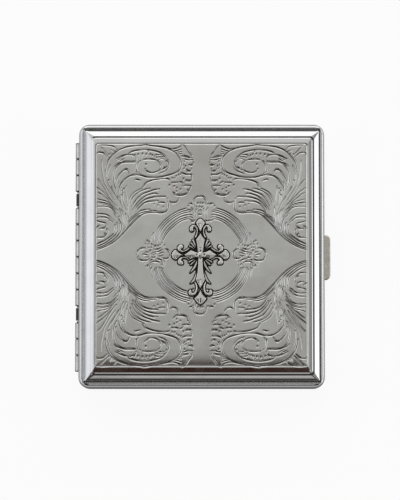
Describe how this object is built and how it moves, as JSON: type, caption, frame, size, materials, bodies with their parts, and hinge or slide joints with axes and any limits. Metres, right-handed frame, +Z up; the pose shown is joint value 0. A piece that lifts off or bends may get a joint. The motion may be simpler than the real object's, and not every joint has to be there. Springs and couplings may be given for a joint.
{
  "type": "cigarette case",
  "caption": "Flat two-sided hinged metal case for king-size cigarettes, with engraved raised covers, a cross ornament, a side push-button latch and sprung retaining arms.",
  "frame": {"origin": "Centre of the bounding box in X and Y, on the plane that the back cover rests on.", "axes": "+X from the hinge to the latch button, +Y along the hinge towards the top edge of the cross, +Z up out of the lid."},
  "size_m": [0.0924, 0.0952, 0.0203],
  "materials": {
    "polished_chrome": "mirror-bright chrome plate on drawn steel, rounded rims",
    "engraved_chrome": "chrome plate with a satin, finely brushed panel, engraved scroll lines and polished bevels",
    "liner_steel": "thin plated sheet, satin",
    "hinge_nickel": "warm nickel plate, semi-bright",
    "spring_steel": "dark oiled spring wire",
    "latch_steel": "plated pressed steel",
    "arm_chrome": "bright plated spring strip",
    "satin_nickel": "satin nickel with fine brushed lines",
    "antiqued_silver": "bright cast metal with blackened recesses"
  },
  "bodies": {
    "back_half": {"back_frame": "polished_chrome", "back_cover_plate": "engraved_chrome", "back_liner": "liner_steel", "back_hinge_leaf": "hinge_nickel", "hinge_pin": "hinge_nickel", "hinge_spring_upper": "spring_steel", "hinge_spring_lower": "spring_steel", "latch_guide": "latch_steel", "latch_springs": "spring_steel", "back_arm_bracket": "latch_steel", "back_arm_pin": "latch_steel", "back_arm_spring": "spring_steel"},
    "lid_half": {"lid_frame": "polished_chrome", "lid_cover_plate": "engraved_chrome", "lid_liner": "liner_steel", "lid_hinge_leaf": "hinge_nickel", "lid_catch": "latch_steel", "cross_ornament": "antiqued_silver", "lid_arm_bracket": "latch_steel", "lid_arm_pin": "latch_steel", "lid_arm_spring": "spring_steel"},
    "latch_unit": {"latch_button": "satin_nickel", "latch_slide": "latch_steel"},
    "back_retainer": {"back_arm": "arm_chrome"},
    "lid_retainer": {"lid_arm": "arm_chrome"}
  },
  "joints": [
    {"name": "lid_hinge", "type": "hinge", "parent": "back_half", "child": "lid_half", "pos_m": [-0.04503, 0, 0.0095], "axis": [0, -1, 0], "range_deg": [0, 180]},
    {"name": "latch_press", "type": "slide", "parent": "back_half", "child": "latch_unit", "axis": [-1, 0, 0], "range_m": [0, 0.0011], "stiffness_N_per_m": 1200, "springref_m": -0.0015, "deforming": ["latch_springs"]},
    {"name": "back_arm_hinge", "type": "hinge", "parent": "back_half", "child": "back_retainer", "pos_m": [-0.04173, 0, 0.0084], "axis": [0, -1, 0], "range_deg": [0, 81], "stiffness_Nm_per_rad": 0.002, "springref_deg": -45.84},
    {"name": "lid_arm_hinge", "type": "hinge", "parent": "lid_half", "child": "lid_retainer", "pos_m": [-0.04173, 0, 0.0106], "axis": [0, 1, 0], "range_deg": [0, 81], "stiffness_Nm_per_rad": 0.002, "springref_deg": -45.84}
  ],
  "couplings": [
    {"joint": "back_arm_hinge", "follows": "lid_hinge", "ratio": 0.45},
    {"joint": "lid_arm_hinge", "follows": "lid_hinge", "ratio": 0.45}
  ]
}
